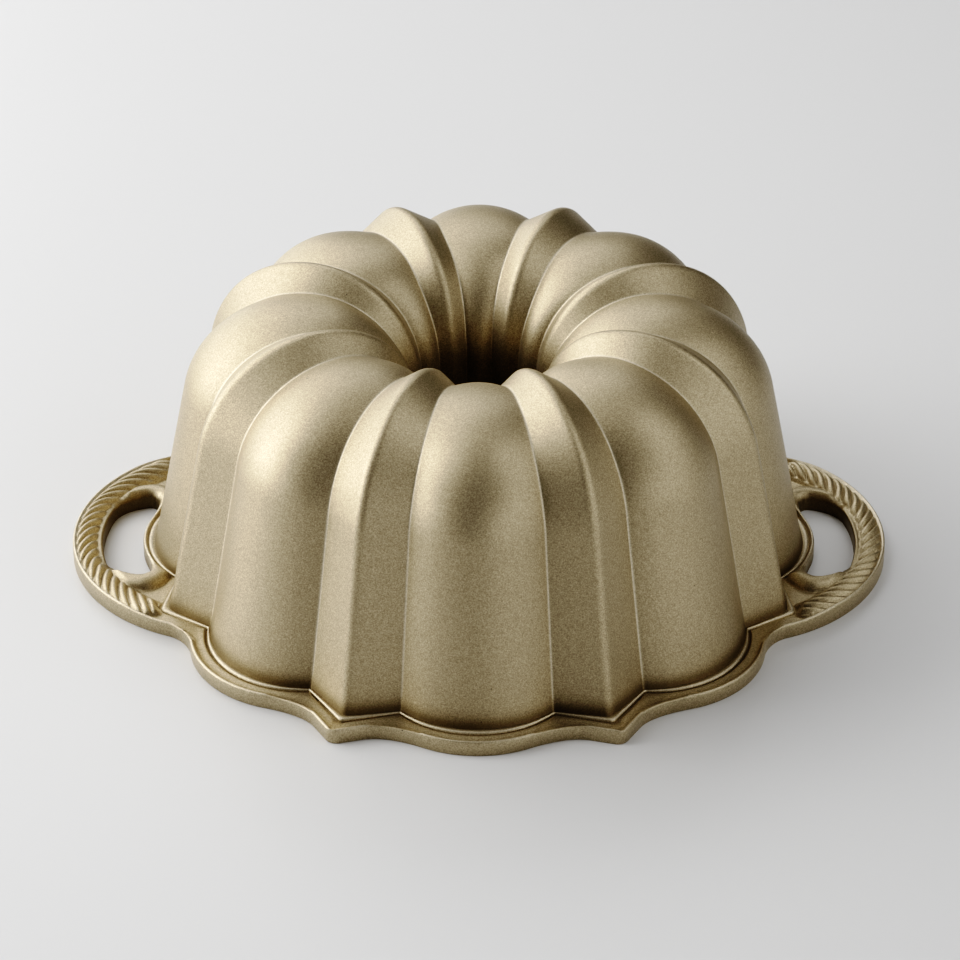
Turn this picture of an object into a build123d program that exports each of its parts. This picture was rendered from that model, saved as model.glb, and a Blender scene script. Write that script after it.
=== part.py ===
from build123d import *
from math import atan2, cos, degrees, hypot, radians, sin, tan
import os

# A fluted tube cake pan standing upside down on its rim. The rim's flat face is z = 0, the
# crown is up and the handles point along +X and -X. All lengths are in millimetres.
# The pan is one casting, cut here at its creases into the features a person would name.

# ---- the ring of flutes
FLUTE_PAIRS = 8                     # round flutes, with a pointed flute after each one
PITCH = 360.0 / FLUTE_PAIRS         # degrees from one round flute to the next
WALL = 3.6                          # thickness of the cast wall

# ---- the creases between the flutes, seen in a cut through the axis
FOOT_Z = 5.0                        # height where the wall leaves the rim
CREASE_FOOT_R = 116.3               # distance from the axis at the foot
CREASE_TOP_Z = 104.8                # height of the crown
CREASE_OUTER_BEND = 39.9            # radius of the shoulder outside
CREASE_INNER_BEND = 35.8            # radius of the shoulder into the tube
OUTER_DRAFT = 11.4                  # lean of the outer wall, degrees
TUBE_TOP_R = 26.5                   # crease radius where the tube begins
TUBE_END_R = 25.2                   # crease radius at the open end of the tube
TUBE_END_Z = 1.0                    # height of the tube's open end

# ---- half the angle of a round flute at the foot, over the crown and in the tube
HALF_ANGLE_FOOT = 13.7
HALF_ANGLE_CROWN = 13.1
HALF_ANGLE_TUBE = 10.2

# ---- how far the flutes stand above the chord between their creases,
#      as (direction of the wall in degrees, height)
ROUND_BULGE = ((0.0, 11.0), (20.0, 10.6), (45.0, 7.6), (70.0, 3.6), (90.0, 1.6),
               (135.0, 1.4), (180.0, 1.8))
POINTED_BULGE = ((0.0, 10.0), (12.0, 9.2), (45.0, 8.1), (90.0, 6.4), (120.0, 5.0),
                 (135.0, 3.6), (150.0, 2.6), (180.0, 1.8))
CREST_RADIUS = 4.0                  # rounding along the top of a pointed flute
INNER_CREST_RADIUS = 1.2            # the same inside the pan
FLARE_HEIGHT = 9.0                  # the wall's foot sweeps outwards over this height
CREASE_FLARE = 0.2                  # and by this much at a crease
BULGE_FLARE = 0.3                   # and by this much more at the middle of a flute
WALL_CUTS = (0.0, 0.035, 0.085, 0.16, 0.27, 0.4, 0.54, 0.69, 0.85)   # where the upright wall is cut
BEND_CUTS = 16                      # equal turns that the crown's bend is cut into

# ---- the ledge that the wall stands on
LEDGE_BASE_Z = 3.8
LEDGE_LOBE_CENTRE = 90.1            # centre of each round part of its outline
LEDGE_LOBE_R = 36.9
LEDGE_POINT_R = 129.6               # where the two sides of a pointed part would meet
LEDGE_POINT_ROUND = 2.5

# ---- the rim
RIM_TOP_Z = 6.2                     # top of its thin raised outer edge
BAND_TOP_Z = 5.0                    # the flat band inside that edge
RIM_LOBE_CENTRE = 92.0
RIM_LOBE_R = 41.8
RIM_POINT_R = 138.2
RIM_POINT_AT_HANDLE_R = 132.0       # shorter beside the handles, which cover these points
RIM_CORE_R = 110.0                  # disc that the round and pointed parts stand on
POINT_SLOPE = 0.76                  # fall of a pointed part's sides towards the axis
POINT_ROOT_R = 60.0                 # a pointed part's sides run in this far
POINT_WIDTH = 60.0                  # and it is cut off at this width
RIM_POINT_ROUND = 5.0
RIM_HOLLOW_ROUND = 10.0
RIM_EDGE_ROUND = 0.7
GROOVE_WIDTH = 1.0                  # groove between the ledge and the rim

# ---- the handles
HANDLE_CENTRE = 91.4                # centre and radius of a handle's outer edge
HANDLE_R = 64.3
HANDLE_BLEND = 9.0                  # rounding where a handle runs into the rim
HANDLE_HALF_ANGLE = 30.0            # the handle's share of the rim, each way from its tip
WEB_TOP_Z = 4.4                     # flat floor of the handle
LIP_WIDTH = 1.2                     # raised outer edge
LIP_TOP_Z = 7.2
LIP_RISE_X = (119.0, 136.0)          # it leaves the rim's height and reaches its own here
RAIL_TOP_Z = 5.8                    # thin rail between the finger hole and the ledge
HOLE_OUTER_CENTRE = 80.0            # finger hole: long outer side
HOLE_OUTER_R = 64.1
HOLE_INNER_CENTRE = 92.0            # finger hole: side that follows the rim
HOLE_INNER_R = 36.8
HOLE_NEAR_X = 124.4
HOLE_HALF_LENGTH = 27.9
HOLE_OUTER_ROUND = 10.0
HOLE_INNER_ROUND = 4.5
COLLAR_WIDTH = 6.5                  # raised roll round the ends of the finger hole
COLLAR_TOP_Z = 8.0

# ---- the rope band on each handle
ROPE_STRANDS = 23
ROPE_CENTRE_R = 58.4                # radius of its middle line about the handle's centre
ROPE_INNER_R = 53.5
ROPE_HALF_SPAN = 66.0               # it runs this many degrees each way from the tip
ROPE_FLOOR_Z = 6.2
ROPE_END_GAP = 4.0                  # the end strands' middles stop this many degrees short
STRAND_LENGTH = 19.0
STRAND_WIDTH = 3.5
STRAND_TOP_Z = 8.2
STRAND_SLANT = 58.0                 # turn of each strand from the outward direction
FAR = 200.0                         # beyond the pan's outline every way


def smooth(x):
    x = min(max(x, 0.0), 1.0)
    return x * x * (3.0 - 2.0 * x)


def blend(table, at):
    """Value between the entries of a short table."""
    for (a0, v0), (a1, v1) in zip(table, table[1:]):
        if at <= a1:
            return v0 + (v1 - v0) * (at - a0) / (a1 - a0)
    return table[-1][1]


def crease_point(angle):
    """(r, z) of the crease where the wall faces this many degrees above outwards."""
    draft = radians(OUTER_DRAFT)
    drop = CREASE_TOP_Z - CREASE_OUTER_BEND - FOOT_Z
    outer_c = CREASE_FOOT_R - (CREASE_OUTER_BEND + drop * sin(draft)) / cos(draft)
    inner_c = TUBE_TOP_R + CREASE_INNER_BEND
    share = smooth((angle - 45.0) / 90.0)
    bend = CREASE_OUTER_BEND + (CREASE_INNER_BEND - CREASE_OUTER_BEND) * share
    centre = outer_c + (inner_c - outer_c) * share
    turn = radians(angle)
    return centre + bend * cos(turn), CREASE_TOP_Z - bend + bend * sin(turn)


def stations():
    """Cuts across a flute from the foot, over the crown, to the top of the tube.

    Each is (r, z, facing, flare): the crease, the way the wall faces there, in degrees,
    and the share of the foot's flare that it has.
    """
    cuts = []
    r1, z1 = crease_point(OUTER_DRAFT)
    for share in WALL_CUTS:
        rise = (z1 - FOOT_Z) * share
        flare = max(0.0, 1.0 - rise / FLARE_HEIGHT) ** 2
        r = CREASE_FOOT_R + (r1 - CREASE_FOOT_R) * share
        cuts.append((r, FOOT_Z + rise, OUTER_DRAFT * share, flare))
    for i in range(BEND_CUTS + 1):
        angle = OUTER_DRAFT + (180.0 - OUTER_DRAFT) * i / BEND_CUTS
        r, z = crease_point(angle)
        cuts.append((r, z, angle, 0.0))
    return cuts


def round_half_angle(facing):
    """Half the angle that a round flute fills where the wall faces this way."""
    if facing < 90.0:
        return HALF_ANGLE_FOOT + (HALF_ANGLE_CROWN - HALF_ANGLE_FOOT) * smooth(facing / 90.0)
    return HALF_ANGLE_CROWN + (HALF_ANGLE_TUBE - HALF_ANGLE_CROWN) * smooth((facing - 90.0) / 60.0)


def wall_facts(cut):
    """Crease radius with the flare, heights of both kinds of flute and the facets' lean."""
    r, z, facing, flare = cut
    r = r + CREASE_FLARE * flare
    pointed_half = radians(PITCH / 2.0 - round_half_angle(facing))
    pointed_height = blend(POINTED_BULGE, facing) + BULGE_FLARE * flare
    round_height = blend(ROUND_BULGE, facing) + BULGE_FLARE * flare
    lean = atan2(pointed_height, r * sin(pointed_half))
    return r, round_height, pointed_height, lean


def place(r, z, across, centre_angle):
    """A point at (r, z) in the flute's middle plane, moved across and turned into place."""
    turn = radians(centre_angle)
    return Vector(r * cos(turn) - across * sin(turn), r * sin(turn) + across * cos(turn), z)


def flute_line(pointed, cut, centre_angle, inner):
    """The edges of one face of the wall in one cut, from crease to crease."""
    z, facing = cut[1], cut[2]
    r, round_height, pointed_height, lean = wall_facts(cut)
    way_r, way_z = cos(radians(facing)), sin(radians(facing))
    half = radians(round_half_angle(facing))
    height, thick, radius = round_height, WALL, CREST_RADIUS
    if pointed:
        half = radians(PITCH / 2.0) - half
        height = pointed_height + CREST_RADIUS * (1.0 / cos(lean) - 1.0)
        thick = WALL / cos(lean)
    top_r, top_z = r * cos(half) + way_r * height, z + way_z * height
    if inner:
        top_r, top_z = top_r - way_r * thick, top_z - way_z * thick
        r, z = r - way_r * WALL / cos(lean), z - way_z * WALL / cos(lean)
        radius = INNER_CREST_RADIUS
    low_r, across = r * cos(half), r * sin(half)
    a = place(low_r, z, -across, centre_angle)
    b = place(low_r, z, across, centre_angle)
    if not pointed:
        return [Edge.make_three_point_arc(a, place(top_r, top_z, 0.0, centre_angle), b)]
    rise = way_r * (top_r - low_r) + way_z * (top_z - z)
    slope = atan2(rise, across)
    reach = radius * sin(slope)
    share = reach / across
    drop = radius * (1.0 / cos(slope) - 1.0)
    near_r, near_z = top_r + (low_r - top_r) * share, top_z + (z - top_z) * share
    s1 = place(near_r, near_z, -reach, centre_angle)
    s2 = place(near_r, near_z, reach, centre_angle)
    crest = place(top_r - way_r * drop, top_z - way_z * drop, 0.0, centre_angle)
    return [Edge.make_line(a, s1), Edge.make_three_point_arc(s1, crest, s2), Edge.make_line(s2, b)]


def flute(pointed, centre_angle):
    """One flute: an arch of wall from the rim, over the crown and down the tube."""
    wires = []
    for cut in stations():
        outer = flute_line(pointed, cut, centre_angle, False)
        inner = flute_line(pointed, cut, centre_angle, True)
        side_b = Edge.make_line(outer[-1] @ 1, inner[-1] @ 1)
        side_a = Edge.make_line(inner[0] @ 0, outer[0] @ 0)
        backwards = [Edge.make_line(e @ 1, e @ 0) if e.geom_type == GeomType.LINE
                     else Edge.make_three_point_arc(e @ 1, e @ 0.5, e @ 0)
                     for e in reversed(inner)]
        wires.append(Wire(outer + [side_b] + backwards + [side_a]))
    return Solid.make_loft(wires, ruled=False)


def ring_of_flutes(cut, inner):
    """The closed outline of all the flutes in one level cut."""
    edges = []
    for i in range(FLUTE_PAIRS):
        edges += flute_line(False, cut, i * PITCH, inner)
        edges += flute_line(True, cut, (i + 0.5) * PITCH, inner)
    return Wire(edges)


def foot_opening():
    """The opening of the pan at its foot, as a face at z = 0."""
    return Pos(0, 0, -FOOT_Z) * Face(ring_of_flutes(stations()[0], True))


def centre_tube():
    """The straight fluted tube below the bend, open at both ends."""
    top = stations()[-1]
    end = (TUBE_END_R, TUBE_END_Z, 180.0, 0.0)
    cake_side = Solid.make_loft([ring_of_flutes(top, True), ring_of_flutes(end, True)], ruled=True)
    bore = Solid.make_loft([ring_of_flutes(top, False), ring_of_flutes(end, False)], ruled=True)
    return cake_side - bore


def kite(tip_r, centre_angle):
    """A pointed part of the rim's outline, from its tip in to the ring's middle."""
    half = (tip_r - POINT_ROOT_R) / POINT_SLOPE
    shape = Polyline((tip_r, 0), (POINT_ROOT_R, half), (POINT_ROOT_R, -half), close=True)
    strip = Pos(POINT_ROOT_R, 0) * Rectangle(2.0 * tip_r, POINT_WIDTH)
    return Rot(0, 0, centre_angle) * (make_face(shape) & strip)


def lobed_outline(centre, radius, tip_r, tip_at_handle_r):
    """Round and pointed parts together; the points beside the handles have their own size."""
    shape = Circle(RIM_CORE_R)
    for i in range(FLUTE_PAIRS):
        shape += Rot(0, 0, i * PITCH) * Pos(centre, 0) * Circle(radius)
        beside_handle = i % (FLUTE_PAIRS // 2) in (0, FLUTE_PAIRS // 2 - 1)
        tip = tip_at_handle_r if beside_handle else tip_r
        shape += kite(tip, (i + 0.5) * PITCH)
    return shape


def away_from_handles(vertex):
    """True for a corner that is not on the part of the rim covered by a handle."""
    angle = abs(degrees(atan2(vertex.Y, abs(vertex.X))))
    return angle > HANDLE_HALF_ANGLE


def soften(shape, test, radius):
    """Round the outline's corners that pass a test."""
    corners = [v for v in shape.vertices() if test(v)]
    return fillet(corners, radius)


def radius_of(vertex):
    return hypot(vertex.X, vertex.Y)


def ledge_outline():
    shape = lobed_outline(LEDGE_LOBE_CENTRE, LEDGE_LOBE_R, LEDGE_POINT_R, LEDGE_POINT_R)
    near_tip = LEDGE_POINT_R - 1.0
    return soften(shape, lambda v: radius_of(v) > near_tip, LEDGE_POINT_ROUND)


def rim_outline():
    """The rim without the handles."""
    shape = lobed_outline(RIM_LOBE_CENTRE, RIM_LOBE_R, RIM_POINT_R, RIM_POINT_AT_HANDLE_R)
    near_tip = RIM_POINT_R - 1.0
    shape = soften(shape, lambda v: radius_of(v) > near_tip, RIM_POINT_ROUND)
    hollow = RIM_POINT_R - 6.0
    return soften(shape, lambda v: radius_of(v) < hollow and away_from_handles(v), RIM_HOLLOW_ROUND)


def finger_hole(grow):
    """Kidney-shaped finger hole on the +X side, made larger all round by grow."""
    outer = Pos(HOLE_OUTER_CENTRE, 0) * Circle(HOLE_OUTER_R + grow)
    near_x = HOLE_NEAR_X - grow
    half_length = HOLE_HALF_LENGTH + grow
    box = Pos(near_x + FAR / 2.0, 0) * Rectangle(FAR, 2.0 * half_length)
    rim_side = Pos(HOLE_INNER_CENTRE, 0) * Circle(HOLE_INNER_R - grow)
    shape = (outer & box) - rim_side
    at_end = HOLE_HALF_LENGTH - 1.0
    outer_x = HOLE_NEAR_X + 4.0
    shape = soften(shape, lambda v: abs(v.Y) > at_end and v.X > outer_x, HOLE_OUTER_ROUND + grow)
    return soften(shape, lambda v: abs(v.Y) > at_end and v.X < near_x + 1.0, HOLE_INNER_ROUND + grow)


def handle_outline(inset):
    """Outer edge of the +X handle and the rim beside it, moved in by inset."""
    shape = Pos(HANDLE_CENTRE, 0) * Circle(HANDLE_R - inset)
    for side in (1, -1):
        shape += Rot(0, 0, side * PITCH) * Pos(RIM_LOBE_CENTRE, 0) * Circle(RIM_LOBE_R - inset)
    return soften(shape, lambda v: v.X > RIM_CORE_R - 5.0, HANDLE_BLEND + inset)


def wedge(half_angle):
    """A three-cornered face from the origin along +X, as wide as half_angle each way."""
    half = FAR * tan(radians(half_angle))
    return make_face(Polyline((0, 0), (FAR, half), (FAR, -half), close=True))


def rope_floor(groove):
    """The curved strip that the rope lies on, on the +X handle, clear of the ledge's corners."""
    ring = Circle(HANDLE_R - LIP_WIDTH) - Circle(ROPE_INNER_R)
    return Pos(HANDLE_CENTRE, 0) * (ring & wedge(ROPE_HALF_SPAN)) - finger_hole(0.0) - groove


def strand(angle):
    """One slanted strand of the rope: a long low dome."""
    dome = scale(Solid.make_sphere(0.5), (STRAND_LENGTH, STRAND_WIDTH, 2.0 * (STRAND_TOP_Z - WEB_TOP_Z)))
    spot = Pos(ROPE_CENTRE_R, 0, WEB_TOP_Z) * Rot(0, 0, STRAND_SLANT)
    return Pos(HANDLE_CENTRE, 0, 0) * Rot(0, 0, angle) * spot * dome


def rope(groove):
    """The rope band of the +X handle."""
    floor = Pos(0, 0, WEB_TOP_Z) * rope_floor(groove)
    body = extrude(floor, ROPE_FLOOR_Z - WEB_TOP_Z)
    trim = extrude(floor, 2.0 * (STRAND_TOP_Z - WEB_TOP_Z))
    last = ROPE_HALF_SPAN - ROPE_END_GAP
    for i in range(ROPE_STRANDS):
        angle = last * (2.0 * i / (ROPE_STRANDS - 1) - 1.0)
        body = body + (strand(angle) & trim)
    return body


def lip_side():
    """The raised outer edge seen from the side: level with the rim, then up to its own height."""
    start, full = LIP_RISE_X
    line = ((RIM_CORE_R, 0), (RIM_CORE_R, RIM_TOP_Z), (start, RIM_TOP_Z), (full, LIP_TOP_Z),
            (FAR, LIP_TOP_Z), (FAR, 0))
    return extrude(Plane.XZ * make_face(Polyline(*line, close=True)), FAR, both=True)


def handle(outline, groove):
    """The +X handle: a flat loop with a raised outer edge, a raised roll round the ends of
    the finger hole, and a thin rail between the hole and the ledge."""
    whole = (outline & wedge(HANDLE_HALF_ANGLE)) - finger_hole(0.0)
    web = Pos(0, 0, WEB_TOP_Z)
    body = extrude(whole, WEB_TOP_Z)
    body += extrude(web * (whole - handle_outline(LIP_WIDTH)), LIP_TOP_Z - WEB_TOP_Z) & lip_side()
    roll = finger_hole(COLLAR_WIDTH) & whole & (Pos(HANDLE_CENTRE, 0) * Circle(ROPE_INNER_R))
    roll -= groove
    body += extrude(web * roll, COLLAR_TOP_Z - WEB_TOP_Z)
    rail = Pos(HOLE_INNER_CENTRE, 0) * Circle(HOLE_INNER_R) & whole
    body += extrude(web * rail, RAIL_TOP_Z - WEB_TOP_Z)
    return body - Pos(0, 0, LEDGE_BASE_Z) * extrude(groove, COLLAR_TOP_Z)


def band_area():
    """Everything inside the raised edge that runs round the rim."""
    loop = handle_outline(LIP_WIDTH)
    return offset(rim_outline(), -LIP_WIDTH) + loop + Rot(0, 0, 180) * loop


def rim_half(outline, groove):
    """The rim on the +Y side, from one handle to the other: a flat band with a raised edge."""
    handles = wedge(HANDLE_HALF_ANGLE) + Rot(0, 0, 180) * wedge(HANDLE_HALF_ANGLE)
    half = (outline - handles) & (Pos(0, FAR / 2.0) * Rectangle(2.0 * FAR, FAR))
    band = extrude(half, RIM_TOP_Z)
    edge_limit = RIM_CORE_R + 12.0
    edges = [e for e in band.edges() if (e @ 0.5).Z > RIM_TOP_Z - 0.1 and radius_of(e @ 0.5) > edge_limit]
    band = fillet(edges, RIM_EDGE_ROUND) - Pos(0, 0, BAND_TOP_Z) * extrude(band_area(), RIM_TOP_Z)
    return band - Pos(0, 0, LEDGE_BASE_Z) * extrude(groove, RIM_TOP_Z)


def main():
    os.makedirs("parts", exist_ok=True)
    half_turn = Rot(0, 0, 180)
    cavity = foot_opening()
    ledge = ledge_outline()
    groove = offset(ledge, GROOVE_WIDTH)
    outline = rim_outline() + handle_outline(0.0) + half_turn * handle_outline(0.0) - cavity
    back = Pos(0, FAR / 2.0) * Rectangle(2.0 * FAR, FAR)
    step = Pos(0, 0, LEDGE_BASE_Z) * extrude((ledge - cavity) & back, FOOT_Z - LEDGE_BASE_Z)
    band = rim_half(outline, groove)
    loop = handle(outline, groove)
    strands = rope(groove)
    pieces = {"centre_tube": centre_tube(),
              "foot_ledge_back": step,
              "foot_ledge_front": half_turn * step,
              "rim_back": band,
              "rim_front": half_turn * band,
              "right_handle": loop,
              "left_handle": half_turn * loop,
              "right_rope_band": strands,
              "left_rope_band": half_turn * strands}
    for i in range(FLUTE_PAIRS):
        pieces["round_flute_%d" % (i + 1)] = flute(False, i * PITCH)
        pieces["pointed_flute_%d" % (i + 1)] = flute(True, (i + 0.5) * PITCH)
    for name, piece in pieces.items():
        export_step(piece, "parts/%s.step" % name)


main()
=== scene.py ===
import math
import bpy
import numpy as np
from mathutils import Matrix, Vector
from mathutils.geometry import delaunay_2d_cdt


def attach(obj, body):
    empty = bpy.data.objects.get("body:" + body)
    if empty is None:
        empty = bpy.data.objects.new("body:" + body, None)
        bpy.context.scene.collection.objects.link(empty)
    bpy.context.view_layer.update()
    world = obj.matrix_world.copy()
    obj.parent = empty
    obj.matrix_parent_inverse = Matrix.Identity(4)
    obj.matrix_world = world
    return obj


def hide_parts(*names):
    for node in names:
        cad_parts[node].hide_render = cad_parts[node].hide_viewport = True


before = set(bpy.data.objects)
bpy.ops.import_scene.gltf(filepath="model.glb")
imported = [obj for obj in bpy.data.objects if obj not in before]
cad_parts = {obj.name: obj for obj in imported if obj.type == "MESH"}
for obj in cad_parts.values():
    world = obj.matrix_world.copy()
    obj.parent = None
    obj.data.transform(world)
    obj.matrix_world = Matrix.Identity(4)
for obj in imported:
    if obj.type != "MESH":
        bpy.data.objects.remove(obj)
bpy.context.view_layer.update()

MM = 0.001

# Sizes are in millimetres and angles in degrees, as in the CAD: the pan stands on its rim, crown up.
# A facing is the way that the wall looks: 0 is outwards, 90 is up and 180 is towards the tube's axis.
PAIRS = 8                               # round flutes, with a pointed one after each
PITCH = 360.0 / PAIRS
WALL = 3.6
FOOT_Z = 5.0
CREASE_FOOT_R = 116.3
CROWN_Z = 104.8
OUTER_BEND, INNER_BEND = 39.9, 35.8     # radii of the crown's bend along a crease
DRAFT = 11.4
TUBE_TOP_R, TUBE_END_R = 26.5, 25.2
TUBE_END_Z = 1.0
HALF_FOOT, HALF_CROWN, HALF_TUBE = 13.7, 13.1, 10.2     # half of a round flute's share of the turn
ROUND_BULGE = ((0, 11.0), (20, 10.6), (45, 7.6), (70, 3.6), (90, 1.6), (135, 1.4), (180, 1.8))
POINTED_BULGE = ((0, 10.0), (12, 9.2), (45, 8.1), (90, 6.4), (120, 5.0), (135, 3.6), (150, 2.6), (180, 1.8))
BULGE_SOFTNESS = 6.0
CREST_R, INNER_CREST_R = 4.0, 1.4
CREASE_BLUR, INNER_CREASE_BLUR = 0.36, 0.8
FLARE_H, FLARE_POWER = 9.0, 2.4         # the wall spreads a little towards its foot
CREASE_FLARE, BULGE_FLARE = 0.2, 0.3

# the ledge that the wall stands on
LEDGE_LOBE_C, LEDGE_LOBE_R, LEDGE_POINT = 90.1, 36.9, 129.6
LEDGE_CREASE_R, LEDGE_ROUND_R, LEDGE_POINTED_R = 117.6, 127.0, 128.4
LEDGE_CREST_R, LEDGE_BLUR = 2.6, 0.45
LEDGE_UNDER_Z = 3.4
LEDGE_BEAD = ((1.0, 5.0, -0.3), (0.86, 5.04, -0.1), (0.72, 5.16, 0.12), (0.58, 5.26, 0.2), (0.45, 5.3, 0.22),
              (0.32, 5.26, 0.22), (0.2, 5.12, 0.15), (0.1, 4.88, 0.1), (0.03, 4.55, 0.0), (0.0, 4.2, 0.0),
              (0.0, LEDGE_UNDER_Z, 0.0))        # share of the way in, height, painted highlight (+) or painted shade (-)

# the rim in plan
CORE_R = 110.0
RIM_LOBE_C, RIM_LOBE_R, RIM_POINT = 92.0, 41.8, 137.8
SLOPE = 0.76                            # of a pointed part's two sides
LEDGE_POINT_ROUND, RIM_POINT_ROUND = 2.5, 3.2
LOBE_BLEND, POINT_BLEND, HANDLE_BLEND = 1.0, 10.0, 9.0
HANDLE_C, HANDLE_R = 91.4, 64.3
CUT_ANGLE = 30.0                        # where the handles are cut from the rim

# the finger holes in plan
HOLE_OUTER_C, HOLE_OUTER_R, HOLE_OUTER_ROUND = 80.0, 64.1, 10.0
HOLE_INNER_C, HOLE_INNER_R, HOLE_INNER_ROUND = 92.0, 36.8, 2.0
HOLE_HALF_LENGTH, HOLE_NEAR_X, HOLE_CORNER_ROUND = 27.9, 124.4, 4.5
HOLE_MIDDLE, HOLE_REACH = 135.0, (0.5, 40.0)

# heights of the rim's and handles' relief, and pairs of distances from where a side of it starts
# to where it is at its full height
WEB_Z, BAND_Z, EDGE_Z = 4.4, 5.0, 6.2
GROOVE_Z, GROOVE_SIDE = 3.8, (0.3, 1.1)
BAND_HOLLOW, HOLLOW_START, HOLLOW_SHARE = 0.3, 0.25, 0.6
EDGE_SIDE, LIP_SIDE = (2.3, 0.8), (1.5, 0.8)
LIP_RISE, LIP_RISE_X = 1.0, (119.0, 136.0)
ROLL_WIDTH, ROLL_LEAST_WIDTH, ROLL_LEDGE_GAP = 8.4, 1.2, 0.25
ROLL_RISE, ROLL_SKEW, ROLL_END_R = 3.6, 0.85, (56.0, 52.5)
EDGE_ROUND = 0.7
HOLE_ROUND_SHARE, HOLE_LEAST_ROUND, HOLE_MOST_ROUND = 0.45, 0.5, 2.2
BASE_EDGE_Z, BASE_CHAMFER = 0.35, 0.3
HANDLE_FROM_X = 100.0
HANDLE_BLEND_X, HANDLE_BLEND_ANGLE = (HANDLE_FROM_X, 106.0), (36.0, 30.0)

# the rope band on each handle
ROPE_TURN, ROPE_SPAN, ROPE_END = 53.0, 54.0, 7.5        # strands' slant, half span, rounded end
ROPE_MIDDLE_R, ROPE_INNER_R, ROPE_EDGE_GAP = 58.5, 53.4, 0.9
ROPE_HOLE_GAP, ROPE_SIDE_REACH = 3.0, 0.15
BED_Z, BED_SIDE_R, BED_END, BED_EDGE_GAP = 5.8, (51.6, 53.6), (9.0, 0.0), 0.2
ROPE_BODY_RISE, ROPE_ARCH_POWER = 0.75, 0.42
STRAND_RISE, STRAND_GAP, STRAND_CURL, STRAND_FULLNESS = 3.0, 5.55, 0.22, 0.97

# painted highlight on edges and creases, and painted shade at the wall's foot, in the groove and round the
# finger hole:
# level, and the width or the pair of distances that it fades over
CREASE_HIGHLIGHT, CREASE_HIGHLIGHT_WIDTH = 0.3, 0.5
FOOT_SHADE, FOOT_SHADE_FROM, FOOT_SHADE_WIDTH = 0.85, 0.6, 3.4
EDGE_HIGHLIGHT, EDGE_HIGHLIGHT_AT, EDGE_HIGHLIGHT_WIDTH = 0.3, 0.75, 0.5
GROOVE_SHADE, GROOVE_SHADE_AT, GROOVE_SHADE_WIDTH, GROOVE_SHADE_ANGLE = 0.4, 0.3, 0.7, (26.0, 32.0)
RAIL_HIGHLIGHT, RAIL_HIGHLIGHT_AT, RAIL_HIGHLIGHT_WIDTH, RAIL_REACH = 0.35, 0.8, 0.6, 2.4
HOLE_TOP_SHADE, HOLE_TOP_SHADE_SIDE, HOLE_TOP_LEDGE_GAP = 0.35, (2.6, 1.0), 8.0
HOLE_EDGE_SHADE, HOLE_EDGE_SHADE_SIDE, HOLE_WALL_SHADE = 0.45, (0.9, 0.0), 0.8
PAINTED_LIGHT_FROM_X = 115.0


def rad(a):
    return a * math.pi / 180.0


def smooth(x):
    x = np.clip(x, 0.0, 1.0)
    return x * x * (3.0 - 2.0 * x)


def ramp(d, start, full):
    """Nil before start, rising smoothly to one at full."""
    return smooth((d - start) / (full - start))


def near(d, width):
    """One where d is nil, fading out over this width."""
    return np.exp(-(d / width) ** 2)


# ---------------------------------------------------------------- the wall's cross-sections
def softened(table, width):
    """The table as a smooth curve of the wall's facing."""
    margin = 30
    a = np.arange(-margin - 10.0, 191.0 + margin, 1.0)
    v = np.interp(a, [t[0] for t in table], [t[1] for t in table])
    k = np.arange(-margin, margin + 1)
    w = np.exp(-0.5 * (k / width) ** 2)
    v = np.convolve(v, w / w.sum(), mode="same")
    return lambda x: np.interp(x, a[margin:-margin], v[margin:-margin])


round_bulge = softened(ROUND_BULGE, BULGE_SOFTNESS)
pointed_bulge = softened(POINTED_BULGE, BULGE_SOFTNESS)


def half_angle(facing):
    """Half of a round flute's share of the turn."""
    at_crown, at_tube = ramp(facing, 0.0, 90.0), ramp(facing, 90.0, 150.0)
    return HALF_FOOT + (HALF_CROWN - HALF_FOOT) * at_crown + (HALF_TUBE - HALF_CROWN) * at_tube


def crease_point(angle):
    """(r, z) of a crease where it bends over the crown."""
    d = rad(DRAFT)
    outer_c = CREASE_FOOT_R - (OUTER_BEND + (CROWN_Z - OUTER_BEND - FOOT_Z) * math.sin(d)) / math.cos(d)
    inner_c = TUBE_TOP_R + INNER_BEND
    s = ramp(angle, 45.0, 135.0)
    bend = OUTER_BEND + (INNER_BEND - OUTER_BEND) * s
    c = outer_c + (inner_c - outer_c) * s
    return c + bend * math.cos(rad(angle)), CROWN_Z - bend + bend * math.sin(rad(angle))


FOOT_RISES = (0.0, 0.4, 0.9, 1.5, 2.2, 3.1, 4.2, 5.6, 7.4, 9.5, 12.0)
WALL_STEP = 3.0
BEND_STEPS = 92
TUBE_STEPS = 12


def stations():
    """(r, z, facing, flare) of close cuts from the foot to the tube's end."""
    cuts = []
    r1, z1 = crease_point(DRAFT)
    rises = list(FOOT_RISES)
    rises += list(np.arange(FOOT_RISES[-1] + WALL_STEP, z1 - FOOT_Z - WALL_STEP / 2.0, WALL_STEP))
    for rise in rises:
        s = rise / (z1 - FOOT_Z)
        flare = max(0.0, 1.0 - rise / FLARE_H) ** FLARE_POWER
        cuts.append((CREASE_FOOT_R + (r1 - CREASE_FOOT_R) * s, FOOT_Z + rise, DRAFT * s, flare))
    for i in range(BEND_STEPS + 1):
        a = DRAFT + (180.0 - DRAFT) * i / BEND_STEPS
        r, z = crease_point(a)
        cuts.append((r, z, a, 0.0))
    z2 = CROWN_Z - INNER_BEND
    for i in range(1, TUBE_STEPS + 1):
        s = i / TUBE_STEPS
        cuts.append((TUBE_TOP_R + (TUBE_END_R - TUBE_TOP_R) * s, z2 + (TUBE_END_Z - z2) * s, 180.0, 0.0))
    return cuts


DENSE = 200                             # points of one flute's dense section


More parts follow.
